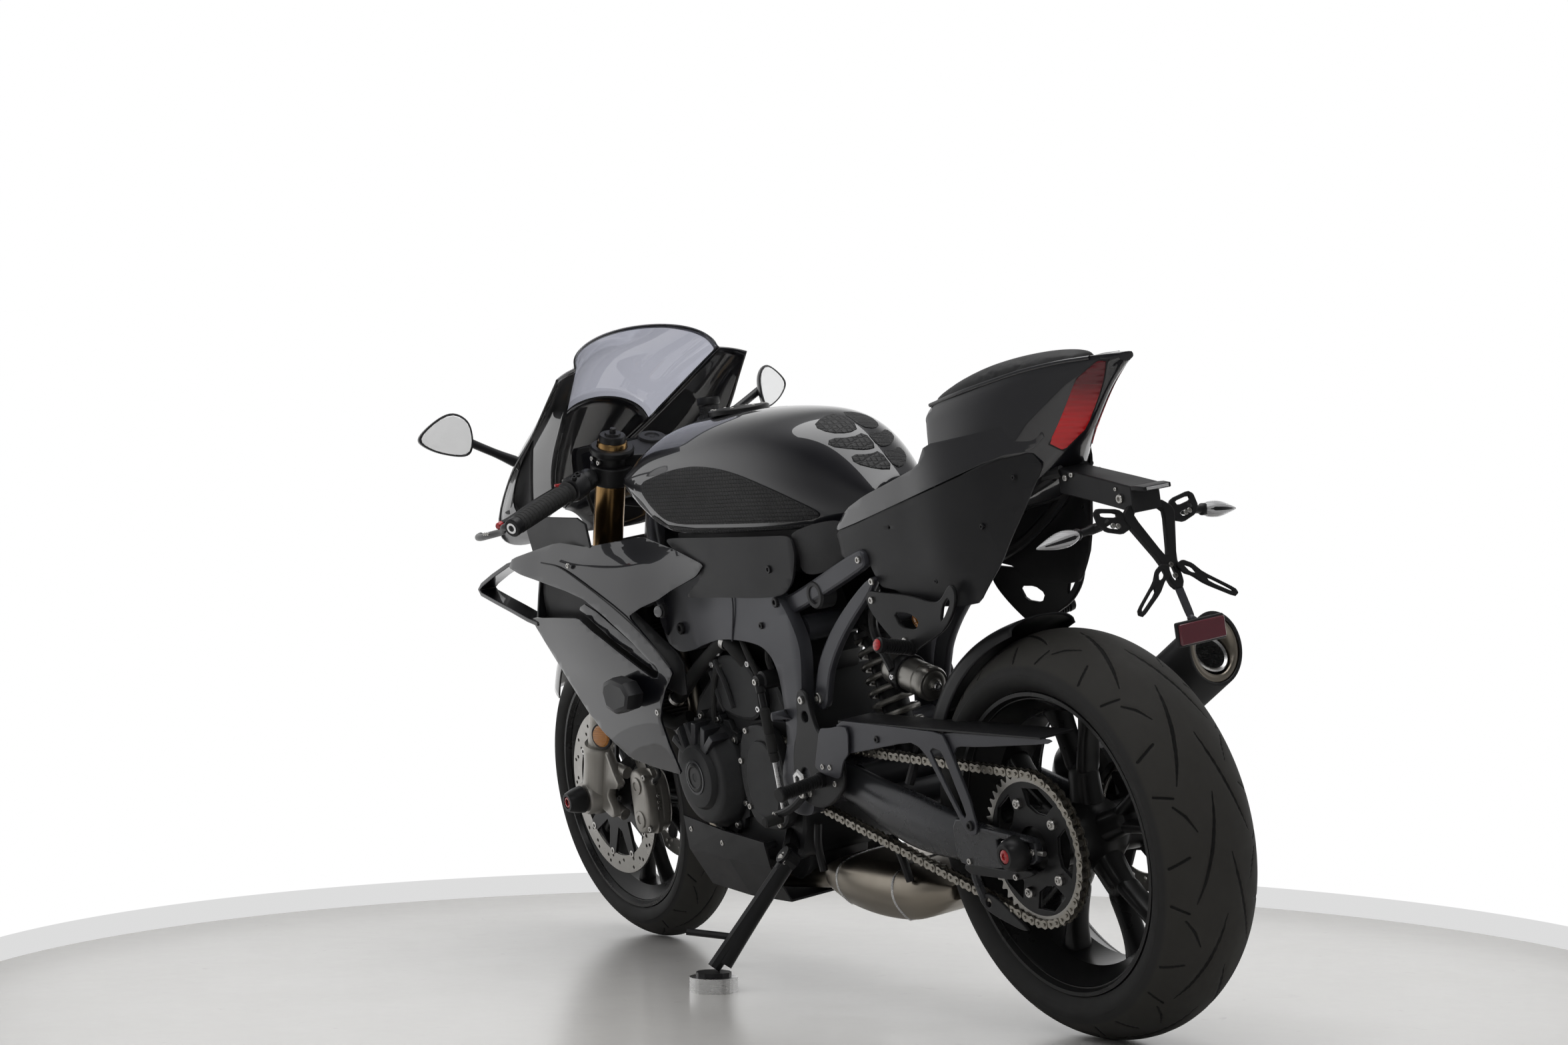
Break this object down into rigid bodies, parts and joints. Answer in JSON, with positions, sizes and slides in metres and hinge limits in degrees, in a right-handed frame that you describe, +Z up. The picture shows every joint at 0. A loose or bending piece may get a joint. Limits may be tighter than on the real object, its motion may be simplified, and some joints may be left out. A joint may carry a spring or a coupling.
{
  "type": "sport bike",
  "caption": "Sport motorcycle with fairing, low bars, raised tail and chain drive, leaning on its side stand with a puck.",
  "frame": {"origin": "on the floor under the middle of the leaning motorcycle's box", "axes": "+X forwards, +Y to the rider's left, +Z up; the motorcycle leans to +Y"},
  "size_m": [2.046, 0.7982, 1.1718],
  "materials": {
    "tyre": "matt tread, satin sidewall",
    "wheel_black": "satin black powder coat",
    "disc_steel": "turned steel",
    "sprocket": "satin black with bright teeth",
    "fork_coating": "dark anodised",
    "fork_slider": "grey anodised casting",
    "axle_steel": "machined",
    "black_metal": "semi matt black",
    "frame_paint": "satin dark grey",
    "engine_paint": "semi matt black casting",
    "radiator_core": "black fins",
    "exhaust_metal": "brushed, slightly bronzed",
    "silencer_metal": "brushed",
    "chain_steel": "bright plates",
    "shock_metal": "grey spring",
    "paint_black": "gloss metallic black",
    "panel_plastic": "satin moulded",
    "seat_cover": "fine grain",
    "smoke_screen": "smoked clear plastic",
    "red_lens": "translucent red",
    "mirror_housing": "satin black",
    "lamp_lens": "smoked clear lens",
    "bare_aluminium": "turned silver"
  },
  "bodies": {
    "chassis": {"main_frame": "frame_paint", "engine": "engine_paint", "radiator": "radiator_core", "exhaust_pipes": "exhaust_metal", "silencer": "silencer_metal", "swingarm": "frame_paint", "axle_shafts": "axle_steel", "drive_chain": "chain_steel", "chain_guard": "black_metal", "rear_hugger": "panel_plastic", "rear_shock": "shock_metal", "rear_caliper": "black_metal", "fuel_tank": "paint_black", "fuel_cap": "black_metal", "rider_seat": "seat_cover", "passenger_seat": "seat_cover", "tail_cowl": "paint_black", "side_panels": "panel_plastic", "subframe": "frame_paint", "tail_lamp": "red_lens", "plate_holder": "black_metal", "rear_reflector": "red_lens", "rear_indicators": "lamp_lens", "side_fairings": "paint_black", "headlamps": "lamp_lens", "upper_fairing": "paint_black", "windscreen": "smoke_screen", "mirrors": "mirror_housing", "belly_pan": "panel_plastic", "footrests": "black_metal", "passenger_pegs": "black_metal", "crash_protectors": "panel_plastic", "dash": "panel_plastic", "stand_bracket": "black_metal"},
    "rear_wheel": {"rear_tyre": "tyre", "rear_rim": "wheel_black", "rear_disc": "disc_steel", "rear_sprocket": "sprocket"},
    "front_wheel": {"front_tyre": "tyre", "front_rim": "wheel_black", "front_discs": "disc_steel"},
    "steering": {"triple_clamps": "black_metal", "fork_tubes": "fork_coating", "fork_legs": "fork_slider", "front_axle": "axle_steel", "handlebars": "black_metal", "front_calipers": "fork_slider", "front_fender": "paint_black"},
    "side_stand": {"side_stand": "black_metal", "stand_puck": "bare_aluminium"}
  },
  "joints": [
    {"name": "steering", "type": "hinge", "parent": "chassis", "child": "steering", "pos_m": [0.46901, -0.03161, 0.83196], "axis": [-0.3811, 0.1574, 0.9111], "range_deg": [-27, 27]},
    {"name": "front_wheel", "type": "hinge", "parent": "steering", "child": "front_wheel", "pos_m": [0.723, -0.12425, 0.29562], "axis": [0, 0.9854, -0.1702], "continuous": true},
    {"name": "rear_wheel", "type": "hinge", "parent": "chassis", "child": "rear_wheel", "pos_m": [-0.697, -0.1217, 0.3104], "axis": [0, 0.9854, -0.1702], "continuous": true},
    {"name": "side_stand", "type": "hinge", "parent": "chassis", "child": "side_stand", "pos_m": [-0.017, -0.00123, 0.22059], "axis": [0.1091, 0.8134, 0.5713], "range_deg": [0, 90.7]}
  ]
}
